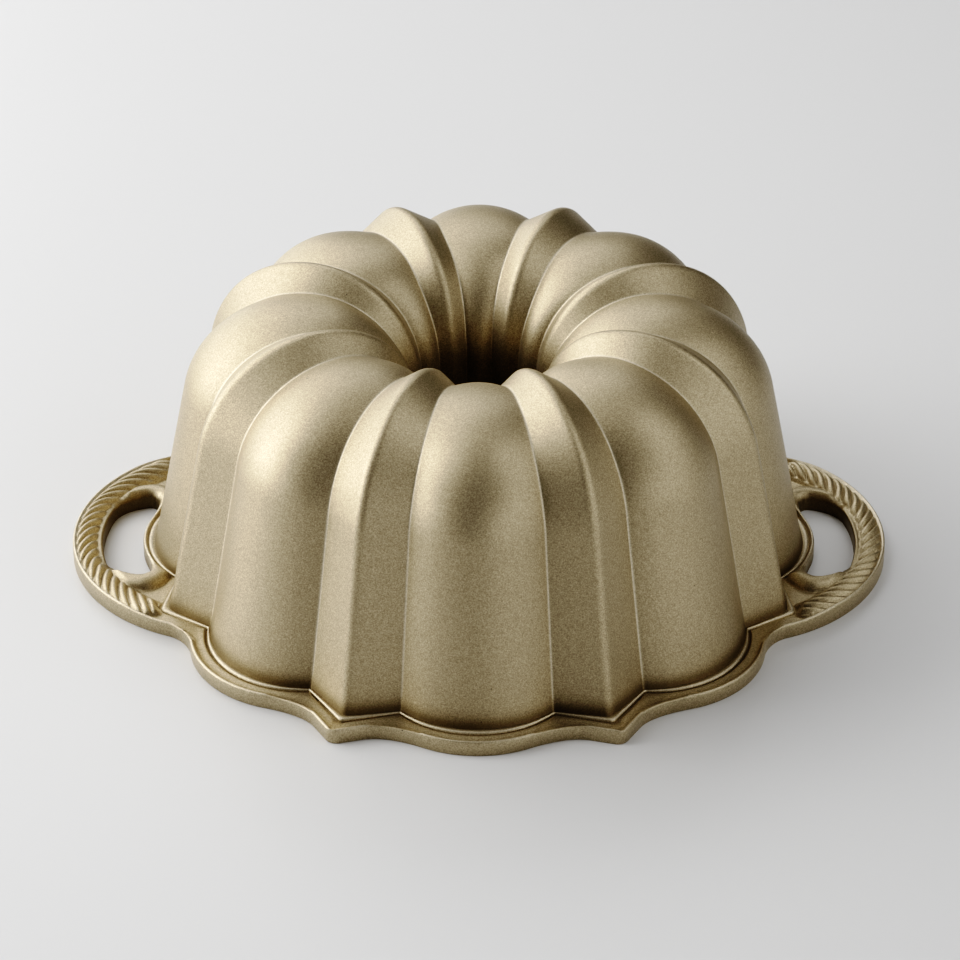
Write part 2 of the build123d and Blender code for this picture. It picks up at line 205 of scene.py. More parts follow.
def flute_section(pointed, r, z, facing, height, crest_r, half, lean, inner):
    """(r, z, across) of DENSE points from crease to crease, in the flute's middle plane."""
    wr, wz = math.cos(rad(facing)), math.sin(rad(facing))
    h = rad(half)
    slant_wall = WALL / math.cos(lean)
    thick = slant_wall if pointed else WALL
    if pointed:
        height = height + crest_r * (1.0 / math.cos(lean) - 1.0)
    top_r, top_z = r * math.cos(h) + wr * height, z + wz * height
    if inner:
        top_r, top_z = top_r - wr * thick, top_z - wz * thick
        r, z = r - wr * slant_wall, z - wz * slant_wall
        crest_r = INNER_CREST_R
    low_r, c = r * math.cos(h), r * math.sin(h)
    rise = wr * (top_r - low_r) + wz * (top_z - z)
    s = np.linspace(-1.0, 1.0, DENSE, endpoint=False)
    if pointed:
        slope = math.atan2(rise, c)
        x = s * c
        y = rise * (1.0 - np.abs(s))
        drop = crest_r * (1.0 / math.cos(slope) - 1.0)
        crest = np.abs(x) < crest_r * math.sin(slope)
        y[crest] = rise - drop - crest_r + np.sqrt(crest_r ** 2 - x[crest] ** 2)
    else:
        big = (c * c + rise * rise) / (2.0 * rise)
        beta = math.atan2(c, big - rise)
        x = big * np.sin(beta * s)
        y = big * np.cos(beta * s) - (big - rise)
    # the middle plane's low point and its top need not be exactly in line with the facing
    share = y / rise
    return low_r + (top_r - low_r) * share, z + (top_z - z) * share, x


def loop(r, z, facing, round_h, pointed_h, crest_r, blur, inner=False):
    """The closed outline of all the flutes in one cut, its creases rounded by the blur."""
    hr = half_angle(facing)
    hp = PITCH / 2.0 - hr
    lean = math.atan2(pointed_h, r * math.sin(rad(hp)))
    parts = []
    for k in range(2 * PAIRS):
        height, half = (pointed_h, hp) if k % 2 else (round_h, hr)
        pr, pz, px = flute_section(k % 2 == 1, r, z, facing, height, crest_r, half, lean, inner)
        t = rad(k * PITCH / 2.0)
        x = pr * math.cos(t) - px * math.sin(t)
        y = pr * math.sin(t) + px * math.cos(t)
        parts.append(np.stack([x, y, pz], 1))
    pts = np.concatenate(parts)
    step = np.linalg.norm(np.diff(pts, axis=0), axis=1).mean()
    gain = np.exp(-2.0 * (math.pi * np.fft.fftfreq(len(pts)) * blur / step) ** 2)
    return np.real(np.fft.ifft(np.fft.fft(pts, axis=0) * gain[:, None], axis=0)), step


# ---------------------------------------------------------------- the wall's mesh
NEAR_CREASE = (0.0, 0.2, 0.42, 0.68, 1.0, 1.5, 2.3)
# shares of half a flute's section, closer together near the creases
ROUND_SPREAD = (0.0, 0.022, 0.045, 0.075, 0.105, 0.14, 0.19, 0.26, 0.34, 0.43, 0.52, 0.62, 0.72, 0.82,
                0.91, 1.0)
POINTED_SPREAD = (0.0, 0.022, 0.045, 0.075, 0.105, 0.14, 0.19, 0.28, 0.39, 0.5, 0.61, 0.7, 0.77, 0.83,
                  0.88, 0.92, 0.96, 1.0)
FAR_FROM_CREASE = 9.0


def spread_of(k):
    return POINTED_SPREAD if k % 2 else ROUND_SPREAD


def picks(step):
    """Where along the dense loop the mesh has its vertices, and which flute owns each."""
    out, owner = [], []
    for k in range(2 * PAIRS):
        pos = [s * DENSE / 2.0 for s in spread_of(k)]
        for j, gap in enumerate(NEAR_CREASE):
            pos[j] = min(pos[j], gap / step)
        full = pos + [DENSE - p for p in reversed(pos[1:-1])]
        out += [k * DENSE + p for p in full]
        owner += [k] * len(full)
    return np.array(out), np.array(owner)


def mesh_row(*cut, **options):
    """The loop's points that the mesh keeps."""
    pts, step = loop(*cut, **options)
    pos = picks(step)[0]
    i = np.floor(pos).astype(int)
    f = (pos - i)[:, None]
    n = len(pts)
    return pts[i % n] * (1.0 - f) + pts[(i + 1) % n] * f


def crease_gaps():
    """How far each mesh column is from the nearest crease, up to a limit."""
    out = []
    for k in range(2 * PAIRS):
        far = len(spread_of(k)) - len(NEAR_CREASE)
        gaps = list(NEAR_CREASE) + [FAR_FROM_CREASE] * far
        out += gaps + gaps[-2:0:-1]
    return np.array(out)


def build_mesh(name, verts, faces, sharp, painted_light):
    """A smooth-shaded mesh; the last argument says where a highlight (+) or a shade (-) is painted into its
    colour.
    """
    me = bpy.data.meshes.new(name)
    me.from_pydata([tuple(v) for v in np.asarray(verts) * MM], [], [tuple(int(i) for i in f) for f in faces])
    me.validate(verbose=False)
    layer = me.attributes.new("painted_light", "FLOAT", "POINT")
    layer.data.foreach_set("value", painted_light.astype(np.float32))
    me.polygons.foreach_set("use_smooth", [True] * len(me.polygons))
    wanted = set(tuple(sorted(e)) for e in sharp)
    for e in me.edges:
        if tuple(sorted(e.vertices)) in wanted:
            e.use_edge_sharp = True
    me.update()
    ob = bpy.data.objects.new(name, me)
    bpy.context.collection.objects.link(ob)
    return ob


def skin(inner):
    """The wall's outer or inner surface: a row of points for every cut."""
    blur = INNER_CREASE_BLUR if inner else CREASE_BLUR
    rows = []
    for r, z, facing, flare in CUTS:
        swell = BULGE_FLARE * flare
        rows.append(mesh_row(r + CREASE_FLARE * flare, z, facing, float(round_bulge(facing)) + swell,
                             float(pointed_bulge(facing)) + swell, CREST_R, blur, inner=inner))
    return np.array(rows)


def wall_painted_light():
    """A highlight is painted along the creases, and shade is painted at the foot of the wall."""
    high = np.array([cut[1] for cut in CUTS])[:, None]
    outside = np.array([cut[2] for cut in CUTS])[:, None] < 90.0
    # painted highlight along the creases, where their rounding catches the light
    painted_highlight = CREASE_HIGHLIGHT * near(crease_gaps()[None, :], CREASE_HIGHLIGHT_WIDTH)
    # painted shade on the outside near the foot, beside the ledge
    painted_shade = FOOT_SHADE * near(np.maximum(high - FOOT_Z - FOOT_SHADE_FROM, 0.0), FOOT_SHADE_WIDTH) * outside
    return painted_highlight - painted_shade


CUTS = stations()
OUTER = skin(False)
INNER = skin(True)
OWNER = picks(1.0)[1]
COUNT = OUTER.shape[1]
BEND_END = len(CUTS) - TUBE_STEPS - 1
PAINTED_LIGHT = wall_painted_light()


def wall_piece(name, cols, lo, hi, wrap):
    """A closed piece of wall: outer and inner skins over these columns and rows, and its edges."""
    m = len(cols)
    rows = hi - lo + 1
    outer = OUTER[lo:hi + 1][:, cols]
    inner = INNER[lo:hi + 1][:, cols]
    verts = np.concatenate([outer.reshape(-1, 3), inner.reshape(-1, 3)])

    def o(i, j):
        return i * m + (j % m)

    def n(i, j):
        return rows * m + o(i, j)

    faces, sharp = [], []
    last = m if wrap else m - 1
    for i in range(rows - 1):
        for j in range(last):
            faces.append((o(i, j), o(i, j + 1), o(i + 1, j + 1), o(i + 1, j)))
            faces.append((n(i, j), n(i + 1, j), n(i + 1, j + 1), n(i, j + 1)))
    for j in range(last):
        for i, flip in ((0, False), (rows - 1, True)):
            f = (o(i, j), n(i, j), n(i, j + 1), o(i, j + 1))
            faces.append(f[::-1] if flip else f)
            sharp += [(o(i, j), o(i, j + 1)), (n(i, j), n(i, j + 1))]
    if not wrap:
        for i in range(rows - 1):
            faces.append((o(i, 0), o(i + 1, 0), n(i + 1, 0), n(i, 0)))
            faces.append((o(i, m - 1), n(i, m - 1), n(i + 1, m - 1), o(i + 1, m - 1)))
            for j in (0, m - 1):
                sharp += [(o(i, j), o(i + 1, j)), (n(i, j), n(i + 1, j))]
        for i in (0, rows - 1):
            for j in (0, m - 1):
                sharp.append((o(i, j), n(i, j)))
    painted_light = np.concatenate([PAINTED_LIGHT[lo:hi + 1][:, cols].ravel(), np.zeros(rows * m)])
    return build_mesh(name, verts, faces, sharp, painted_light)


def columns(k):
    """The mesh columns of flute k, from its first crease to the next flute's."""
    own = np.where(OWNER == k)[0]
    return np.append(own, (own[-1] + 1) % COUNT)


pieces = []
for k in range(2 * PAIRS):
    node_name = ("pointed_flute_%d" if k % 2 else "round_flute_%d") % (k // 2 + 1)
    pieces.append((wall_piece("pan_" + node_name, columns(k), 0, BEND_END, False), (node_name,)))
tube = wall_piece("pan_centre_tube", np.arange(COUNT), BEND_END, len(CUTS) - 1, True)
pieces.append((tube, ("centre_tube",)))


# ---------------------------------------------------------------- outlines in plan, as distances
def disc(x, y, cx, cy, r):
    return np.hypot(x - cx, y - cy) - r


def union_round(a, b, r):
    return np.maximum(r, np.minimum(a, b)) - np.hypot(np.maximum(r - a, 0.0), np.maximum(r - b, 0.0))


def meet_round(a, b, r):
    return np.minimum(-r, np.maximum(a, b)) + np.hypot(np.maximum(r + a, 0.0), np.maximum(r + b, 0.0))


def lobe_part(x, y, centre, angle, r):
    """A round part, as a distance."""
    t = rad(angle)
    return disc(x, y, centre * math.cos(t), centre * math.sin(t), r)


def point_part(x, y, tip, angle, r):
    """The two sloping sides of a pointed part, as a distance, with a rounded tip."""
    t = rad(angle)
    u = x * math.cos(t) + y * math.sin(t)
    v = -x * math.sin(t) + y * math.cos(t)
    g = math.hypot(1.0, SLOPE)
    a = (u + SLOPE * v - tip) / g
    b = (u - SLOPE * v - tip) / g
    half_width, low_end = 30.0, 60.0
    side = np.maximum(np.abs(v) - half_width, low_end - u)
    return np.maximum(meet_round(a, b, r), side)


def ledge_distance(x, y):
    """The ledge's outline; less than zero inside."""
    d = disc(x, y, 0.0, 0.0, CORE_R)
    for i in range(PAIRS):
        d = np.minimum(d, lobe_part(x, y, LEDGE_LOBE_C, i * PITCH, LEDGE_LOBE_R))
        d = np.minimum(d, point_part(x, y, LEDGE_POINT, (i + 0.5) * PITCH, LEDGE_POINT_ROUND))
    return d


def rim_distance(x, y):
    """The whole outline in plan, handles and all; less than zero inside."""
    d = disc(x, y, 0.0, 0.0, CORE_R)
    for i in (1, 2, 3, 5, 6, 7):
        lobe = lobe_part(x, y, RIM_LOBE_C, i * PITCH, RIM_LOBE_R)
        d = union_round(d, lobe, LOBE_BLEND) if i == 1 else np.minimum(d, lobe)
    tips = [point_part(x, y, RIM_POINT, (i + 0.5) * PITCH, RIM_POINT_ROUND) for i in (1, 2, 5, 6)]
    d = union_round(d, np.minimum.reduce(tips), POINT_BLEND)
    loops = np.minimum(disc(x, y, HANDLE_C, 0.0, HANDLE_R), disc(x, y, -HANDLE_C, 0.0, HANDLE_R))
    return union_round(d, loops, HANDLE_BLEND)


def hole_distance(x, y):
    """The finger hole on the side that x is on; less than zero inside the hole."""
    ax = np.abs(x)
    outer = disc(ax, y, HOLE_OUTER_C, 0.0, HOLE_OUTER_R)
    a = meet_round(outer, np.abs(y) - HOLE_HALF_LENGTH, HOLE_OUTER_ROUND)
    rim_side = -disc(ax, y, HOLE_INNER_C, 0.0, HOLE_INNER_R)
    b = meet_round(rim_side, HOLE_NEAR_X - ax, HOLE_INNER_ROUND)
    return meet_round(a, b, HOLE_CORNER_ROUND)


def uphill(distance, p):
    """How fast the distance grows along x and y at these points."""
    e = 0.02
    gx = distance(p[:, 0] + e, p[:, 1]) - distance(p[:, 0] - e, p[:, 1])
    gy = distance(p[:, 0], p[:, 1] + e) - distance(p[:, 0], p[:, 1] - e)
    return np.stack([gx, gy], 1) / (2 * e)


HALVINGS = 40


def ray_outline(distance, cx, angles, lo, hi):
    """Points where the distance is nil along rays from (cx, 0), between two radii."""
    a = np.full(len(angles), lo, float)
    b = np.full(len(angles), hi, float)
    ca, sa = np.cos(angles), np.sin(angles)
    for _ in range(HALVINGS):
        m = 0.5 * (a + b)
        inside = distance(cx + m * ca, m * sa) < 0.0
        a = np.where(inside, m, a)
        b = np.where(inside, b, m)
    m = 0.5 * (a + b)
    return np.stack([cx + m * ca, m * sa], 1)


def even(points, gap, closed=False):
    """The same line with its points evenly spaced."""
    p = np.vstack([points, points[:1]]) if closed else points
    d = np.linalg.norm(np.diff(p, axis=0), axis=1)
    s = np.concatenate([[0.0], np.cumsum(d)])
    n = max(4, int(round(s[-1] / gap)))
    t = np.linspace(0.0, s[-1], n + 1)
    q = np.stack([np.interp(t, s, p[:, 0]), np.interp(t, s, p[:, 1])], 1)
    return q[:-1] if closed else q


# ---------------------------------------------------------------- the ledge's mesh
def ledge_rows():
    """Rows of the rounded ledge from the wall's foot outwards and down, then back inside."""
    half_round = rad(HALF_FOOT)
    half_point = rad(PITCH / 2.0 - HALF_FOOT)
    round_h = LEDGE_ROUND_R - LEDGE_CREASE_R * math.cos(half_round)
    pointed_h = LEDGE_POINTED_R - LEDGE_CREASE_R * math.cos(half_point)
    edge = mesh_row(LEDGE_CREASE_R, 0.0, 0.0, round_h, pointed_h, LEDGE_CREST_R, LEDGE_BLUR)
    foot = OUTER[0]
    flat = np.array([1.0, 1.0, 0.0])
    rows = [foot]
    for share, z, _ in LEDGE_BEAD[1:]:
        rows.append((edge + (foot - edge) * share) * flat + np.array([0.0, 0.0, z]))
    rows.append(INNER[0] * flat + np.array([0.0, 0.0, LEDGE_UNDER_Z]))
    rows.append(INNER[0])
    return np.array(rows)


def ring_piece(name, rows, sharp_rows, painted_light):
    """A closed ring through these rows, joined from the last back to the first."""
    r, m = rows.shape[0], rows.shape[1]

    def at(i, j):
        return (i % r) * m + (j % m)

    faces, sharp = [], []
    for i in range(r):
        for j in range(m):
            faces.append((at(i, j), at(i + 1, j), at(i + 1, j + 1), at(i, j + 1)))
            if i in sharp_rows:
                sharp.append((at(i, j), at(i, j + 1)))
    return build_mesh(name, rows.reshape(-1, 3), faces, sharp, np.repeat(np.array(painted_light), m))


BEAD_ROWS = len(LEDGE_BEAD)
# painted highlight along the bead's top, and painted shade where it meets the wall
ledge_painted_light = [row[2] for row in LEDGE_BEAD] + [0.0, 0.0]
ledge = ring_piece("pan_foot_ledge", ledge_rows(), (0, BEAD_ROWS - 1, BEAD_ROWS, BEAD_ROWS + 1), ledge_painted_light)
pieces.append((ledge, ("foot_ledge_front", "foot_ledge_back")))


# ---------------------------------------------------------------- relief of the rim and handles
def rounded_edge(d, r):
    """How far a rounded edge of radius r has dropped at distance d from the outline."""
    e = np.clip(1.0 - d / r, 0.0, 1.0)
    return r * (1.0 - np.sqrt(1.0 - e ** 2))


def rope_height(x, y, d_out, d_hole):
    """The rope band on a handle: slanted strands on a raised floor, closing at both ends."""
    ax = np.abs(x)
    hy = np.where(x < 0, -y, y)
    rho = np.hypot(ax - HANDLE_C, hy)
    alpha = np.arctan2(hy, ax - HANDLE_C)
    outer = HANDLE_R - ROPE_EDGE_GAP
    inner = np.clip(outer - (d_out + d_hole - ROPE_HOLE_GAP), ROPE_INNER_R, ROPE_MIDDLE_R)
    half = 0.5 * (outer - inner) + ROPE_SIDE_REACH
    across = (rho - 0.5 * (inner + outer)) / half
    past = np.degrees(np.abs(alpha)) - ROPE_SPAN
    end = np.clip(past / ROPE_END, 0.0, 1.0)
    arch = np.clip(1.0 - across ** 2 - end ** 2, 0.0, 1.0) ** ROPE_ARCH_POWER
    along = alpha * ROPE_MIDDLE_R - half * (across * math.tan(rad(ROPE_TURN)) + STRAND_CURL * across ** 2)
    turn = along / STRAND_GAP + 0.5
    turn = 2.0 * (turn - np.floor(turn)) - 1.0
    strand = np.sqrt(np.clip(1.0 - (STRAND_FULLNESS * turn) ** 2, 0.0, 1.0))
    on_bed = ramp(rho, *BED_SIDE_R) * ramp(past, *BED_END) * (HANDLE_R - BED_EDGE_GAP > rho)
    bed = WEB_Z + (BED_Z - WEB_Z) * on_bed
    return np.maximum(bed, WEB_Z + arch * (ROPE_BODY_RISE + STRAND_RISE * strand))


def band_height(d_out, d_ledge):
    """Plain rim: a groove beside the ledge, a shallow band, then a thin raised edge."""
    width = np.maximum(d_out + d_ledge, 1e-3)
    share = np.clip(d_ledge / width, 0.0, 1.0)
    band = GROOVE_Z + (BAND_Z - GROOVE_Z) * ramp(d_ledge, *GROOVE_SIDE)
    band -= BAND_HOLLOW * np.sin(math.pi * np.clip((share - HOLLOW_START) / HOLLOW_SHARE, 0.0, 1.0))
    return band + (EDGE_Z - BAND_Z) * ramp(d_out, *EDGE_SIDE)


def handle_height(x, y, d_out, d_ledge, d_hole, roll_width):
    """A flat web with an outer lip, the rope, and a roll round the finger hole that narrows
    to a thin rail where the hole runs beside the ledge."""
    ax = np.abs(x)
    lip_z = EDGE_Z + LIP_RISE * ramp(ax, *LIP_RISE_X)
    lip = WEB_Z + (lip_z - WEB_Z) * ramp(d_out, *LIP_SIDE)
    place = (2.0 * np.clip(d_hole / roll_width, 0.0, 1.0) - ROLL_SKEW) / (2.0 - ROLL_SKEW)
    roll = ROLL_RISE * (roll_width / ROLL_WIDTH) ** 0.5 * np.sqrt(np.clip(1.0 - place ** 2, 0.0, 1.0))
    low_r, full_r = ROLL_END_R
    fade = np.clip((low_r - np.hypot(ax - HANDLE_C, y)) / (low_r - full_r), 0.0, 1.0)
    roll = np.where(d_hole < roll_width, WEB_Z + roll * fade, 0.0)
    z = np.maximum(np.maximum(WEB_Z, lip), np.maximum(rope_height(x, y, d_out, d_hole), roll))
    return np.where(d_ledge < GROOVE_SIDE[0], np.minimum(z, WEB_Z - 0.1), z)


def rim_height(x, y):
    """Height of the rim and handles' upper side."""
    ax = np.abs(x)
    d_out, d_ledge, d_hole = -rim_distance(x, y), ledge_distance(x, y), hole_distance(x, y)
    away = np.degrees(np.arctan2(np.abs(y), ax))
    roll_width = np.clip(d_hole + d_ledge - ROLL_LEDGE_GAP, ROLL_LEAST_WIDTH, ROLL_WIDTH)
    at_handle = ramp(away, *HANDLE_BLEND_ANGLE) * ramp(ax, *HANDLE_BLEND_X)
    band = band_height(d_out, d_ledge)
    handle = handle_height(x, y, d_out, d_ledge, d_hole, roll_width)
    z = band * (1.0 - at_handle) + handle * at_handle - rounded_edge(d_out, EDGE_ROUND)
    hole_round = np.clip(HOLE_ROUND_SHARE * roll_width, HOLE_LEAST_ROUND, HOLE_MOST_ROUND)
    return np.where(ax > HANDLE_FROM_X, z - rounded_edge(d_hole, hole_round), z)


def rim_painted_light(x, y):
    """A highlight is painted on the raised outer edge and on the rail beside the finger hole; shade is
    painted in the groove and round the finger hole.
    """
    away = np.degrees(np.arctan2(np.abs(y), np.abs(x)))
    d_out, d_ledge, d_hole = -rim_distance(x, y), ledge_distance(x, y), hole_distance(x, y)
    at_handle = np.abs(x) > PAINTED_LIGHT_FROM_X
    by_rail = d_ledge < RAIL_REACH
    # painted highlight along the rounded outer edge
    edge_highlight = EDGE_HIGHLIGHT * near(d_out - EDGE_HIGHLIGHT_AT, EDGE_HIGHLIGHT_WIDTH)
    # painted shade in the groove beside the ledge
    groove_shade = GROOVE_SHADE * near(d_ledge - GROOVE_SHADE_AT, GROOVE_SHADE_WIDTH) * ramp(away, *GROOVE_SHADE_ANGLE)
    # painted highlight along the rail's top
    rail_highlight = RAIL_HIGHLIGHT * near(d_hole - RAIL_HIGHLIGHT_AT, RAIL_HIGHLIGHT_WIDTH) * by_rail * at_handle
    # painted shade round the finger hole's top and edge
    hole_top_shade = HOLE_TOP_SHADE * ramp(d_hole, *HOLE_TOP_SHADE_SIDE) * (d_ledge > HOLE_TOP_LEDGE_GAP) * at_handle
    hole_edge_shade = HOLE_EDGE_SHADE * ramp(d_hole, *HOLE_EDGE_SHADE_SIDE) * ~by_rail * at_handle
    return edge_highlight - groove_shade + rail_highlight - hole_top_shade - hole_edge_shade


# ---------------------------------------------------------------- meshes of the rim and handles
BORDER_GAP, LEDGE_BORDER_GAP, HOLE_GAP = 0.7, 0.8, 0.6
UNDER_LEDGE = 0.4                       # the slabs reach this far in under the ledge
OUTLINE_GAPS = (0.07, 0.18, 0.35, 0.55, 0.8, 1.15, 1.6, 2.1)
LEDGE_GAPS = (0.02, 0.35, 0.65, 0.9, 1.15, 1.45, 1.9, 2.4)
HOLE_GAPS = (0.08, 0.2, 0.4, 0.65, 0.95, 1.3, 1.8)
GRID_GAP = 0.35                         # between those rows and the even grid
CUT_CLEARANCE = 0.3
SAME_CELL = 0.12
LEAST_AREA = 1e-5
ON_OUTLINE = 0.05                       # as near as this counts as on an outline
CORE_TO_OUTLINE, CORE_TO_LEDGE = (105.0, 170.0), (105.0, 140.0)     # where rays look for them
RAYS, HOLE_RAYS = 4000, 2000
PART_MIDDLE = {"right": 0.0, "back": 90.0, "left": 180.0, "front": -90.0}


def sector(x, y, part):
    """Less than zero inside a part of the rim: a handle's side, or the front or back."""
    t = rad(CUT_ANGLE)
    side = np.abs(y) * math.cos(t) - np.abs(x) * math.sin(t)
    if part in ("left", "right"):
        return np.maximum(side, -x if part == "right" else x)
    return np.maximum(-side, -y if part == "back" else y)


def rows_from(line, distance, gaps, way):
    """Rows of points at set distances from a line, where nothing else is nearer."""
    g = uphill(distance, line)
    g /= np.maximum(np.linalg.norm(g, axis=1, keepdims=True), 1e-6)
    out = []
    for gap in gaps:
        p = line + g * (gap * way)
        d = np.abs(distance(p[:, 0], p[:, 1]))
        out.append(p[np.abs(d - gap) < 0.06 * max(gap, 0.5)])
    return np.concatenate(out)


def hex_grid(low, high, gap):
    """Evenly spread points over a box."""
    ys = np.arange(low[1], high[1], gap * 0.866)
    xs = np.arange(low[0], high[0], gap)
    gx, gy = np.meshgrid(xs, ys)
    gx = gx + (np.arange(len(ys)) % 2)[:, None] * gap * 0.5
    return np.stack([gx.ravel(), gy.ravel()], 1)


def in_loop(c, line):
    """Whether points lie inside a closed line."""
    hit = np.zeros(len(c), bool)
    for a, b in zip(line, np.roll(line, -1, axis=0)):
        if a[1] != b[1]:
            crosses = (a[1] > c[:, 1]) != (b[1] > c[:, 1])
            hit ^= crosses & (c[:, 0] < a[0] + (b[0] - a[0]) * (c[:, 1] - a[1]) / (b[1] - a[1]))
    return hit


def turning(v, f):
    """Twice the area of each triangle, more than zero where it turns to the left."""
    return np.cross(v[f[:, 1]] - v[f[:, 0]], v[f[:, 2]] - v[f[:, 0]])


def straight(a, b):
    """The points between a and b on a straight cut."""
    n = max(2, int(np.linalg.norm(b - a) / BORDER_GAP))
    return a + (b - a) * np.linspace(0.0, 1.0, n + 1)[1:-1, None]


def part_loops(part):
    """A part's outline, then its finger hole's if it has one, and its range of angles."""
    handle = part in ("left", "right")
    half = CUT_ANGLE if handle else 90.0 - CUT_ANGLE
    ang = np.radians(np.linspace(PART_MIDDLE[part] - half, PART_MIDDLE[part] + half, RAYS))

    def under_ledge(x, y):
        return ledge_distance(x, y) + UNDER_LEDGE

    outer = even(ray_outline(rim_distance, 0, ang, *CORE_TO_OUTLINE), BORDER_GAP)
    inner = even(ray_outline(under_ledge, 0, ang, *CORE_TO_LEDGE), LEDGE_BORDER_GAP)
    cuts = straight(outer[-1], inner[-1]), straight(inner[0], outer[0])
    loops = [np.concatenate([outer, cuts[0], inner[::-1], cuts[1]])]
    if handle:
        a = np.linspace(0.0, 2.0 * math.pi, HOLE_RAYS, endpoint=False)
        middle = HOLE_MIDDLE if part == "right" else -HOLE_MIDDLE
        loops.append(even(ray_outline(hole_distance, middle, a, *HOLE_REACH), HOLE_GAP, True))
    return loops, outer, ang


def relief_points(part, loops, outer, ang, fine):
    """The points that carry the relief: rows beside every edge and an even grid between."""
    rows = [rows_from(outer, rim_distance, OUTLINE_GAPS, -1.0)]
    foot = even(ray_outline(ledge_distance, 0, ang, *CORE_TO_LEDGE), BORDER_GAP)
    rows.append(rows_from(foot, ledge_distance, LEDGE_GAPS, 1.0))
    grid = hex_grid(loops[0].min(axis=0) - 1, loops[0].max(axis=0) + 1, fine)
    x, y = grid[:, 0], grid[:, 1]
    keep = -rim_distance(x, y) > OUTLINE_GAPS[-1] + GRID_GAP
    keep &= ledge_distance(x, y) > LEDGE_GAPS[-1] + GRID_GAP
    if len(loops) > 1:
        rows.append(rows_from(loops[1], hole_distance, HOLE_GAPS, 1.0))
        keep &= hole_distance(x, y) > HOLE_GAPS[-1] + GRID_GAP
    rows.append(grid[keep])
    every = np.concatenate(rows)
    x, y = every[:, 0], every[:, 1]
    keep = (sector(x, y, part) < -CUT_CLEARANCE) & (rim_distance(x, y) < -ON_OUTLINE)
    keep &= ledge_distance(x, y) > -UNDER_LEDGE / 2.0
    if len(loops) > 1:
        keep &= hole_distance(x, y) > ON_OUTLINE
    every = every[keep]
    # thin out points of different rows that nearly meet
    cell = np.round(every / SAME_CELL).astype(int)
    _, first = np.unique(cell[:, 0] * 100003 + cell[:, 1], return_index=True)
    return every[np.sort(first)]


def triangles(points, edges, loops):
    """The points joined in triangles that all turn to the left, within the outline and off the hole."""
    v, _, f, _, _, _ = delaunay_2d_cdt([Vector(p) for p in points], edges, [], 0, 1e-5)
    v = np.array([(p.x, p.y) for p in v])
    f = np.array([t for t in f if len(t) == 3])
    c = v[f].mean(axis=1)
    good = (np.abs(turning(v, f)) > LEAST_AREA) & in_loop(c, loops[0])
    if len(loops) > 1:
        good &= ~in_loop(c, loops[1])
    f = f[good]
    return v, np.where(turning(v, f)[:, None] > 0, f, f[:, ::-1])


def flat_part(part, fine):
    """A closed slab with the rim's relief on its upper side, for one part of the outline."""
    loops, outer, ang = part_loops(part)
    border = np.concatenate(loops)
    count = len(border)
    after = np.concatenate([np.roll(np.arange(len(l)), -1) + s for l, s in zip(loops, (0, len(loops[0])))])
    edges = [(i, int(after[i])) for i in range(count)]
    points = np.concatenate([border, relief_points(part, loops, outer, ang, fine)])
    v, top_faces = triangles(points, edges, loops)
    base_v, base_faces = triangles(border, edges, loops)
    if len(base_v) != count or not np.allclose(v[:count], border, atol=1e-4):
        raise ValueError("the outline's points changed")
    g = uphill(rim_distance, border)
    g /= np.maximum(np.linalg.norm(g, axis=1, keepdims=True), 1e-6)
    on_rim = np.abs(rim_distance(border[:, 0], border[:, 1])) < ON_OUTLINE
    foot = border - BASE_CHAMFER * g * on_rim[:, None]
    top = np.column_stack([v, rim_height(v[:, 0], v[:, 1])])
    low = np.column_stack([border, np.full(count, BASE_EDGE_Z)])
    base = np.column_stack([foot, np.zeros(count)])
    n1, n2 = len(top), len(top) + count
    faces = list(top_faces) + list(base_faces[:, ::-1] + n2)
    sharp = []
    for p, q in edges:
        # the outline runs to the left, and the hole's wall faces the other way
        a, b = (p, q) if p < len(loops[0]) else (q, p)
        faces.append((a, n1 + a, n1 + b, b))
        faces.append((n1 + a, n2 + a, n2 + b, n1 + b))
        if not (on_rim[p] and on_rim[q]):
            sharp.append((n2 + p, n2 + q))
            if p < len(loops[0]):
                sharp += [(p, q), (n1 + p, n1 + q)]
    # painted shade on the finger hole's wall
    side = np.where(np.abs(hole_distance(border[:, 0], border[:, 1])) < ON_OUTLINE, -HOLE_WALL_SHADE, 0.0)
    painted_light = np.concatenate([rim_painted_light(v[:, 0], v[:, 1]), side, side])
    return np.concatenate([top, low, base]), faces, sharp, painted_light


HANDLE_FINE = 0.42
RIM_FINE = 0.9
for part, fine, nodes in (("left", HANDLE_FINE, ("left_handle", "left_rope_band")),
                          ("right", HANDLE_FINE, ("right_handle", "right_rope_band")),
                          ("front", RIM_FINE, ("rim_front",)),
                          ("back", RIM_FINE, ("rim_back",))):
    pieces.append((build_mesh("pan_" + nodes[0], *flat_part(part, fine)), nodes))


# ---------------------------------------------------------------- materials
def add_node(nt, kind, inputs=None, **settings):
    """A new node with these settings and input values."""
    n = nt.nodes.new(kind)
    for key, value in settings.items():
        setattr(n, key, value)
    for key, value in (inputs or {}).items():
        n.inputs[key].default_value = value
    return n


def remap(nt, source, low, high, out_low, out_high):
    """A value stretched from one range to another."""
    n = add_node(nt, "ShaderNodeMapRange",
                 {"From Min": low, "From Max": high, "To Min": out_low, "To Max": out_high})
    nt.links.new(source, n.inputs["Value"])
    return n.outputs["Result"]


MIX_A, MIX_B, MIX_OUT = 6, 7, 2         # the colour sockets of a Mix node


def blend(nt, share, colour_b, below=None, colour_a=None):
    """A mix towards colour_b, from a fixed colour or from a socket below it."""
    n = add_node(nt, "ShaderNodeMix", data_type="RGBA")
    n.inputs[MIX_B].default_value = colour_b
    if below is None:
        n.inputs[MIX_A].default_value = colour_a
    else:
        nt.links.new(below, n.inputs[MIX_A])
    nt.links.new(share, n.inputs[0])
    return n.outputs[MIX_OUT]


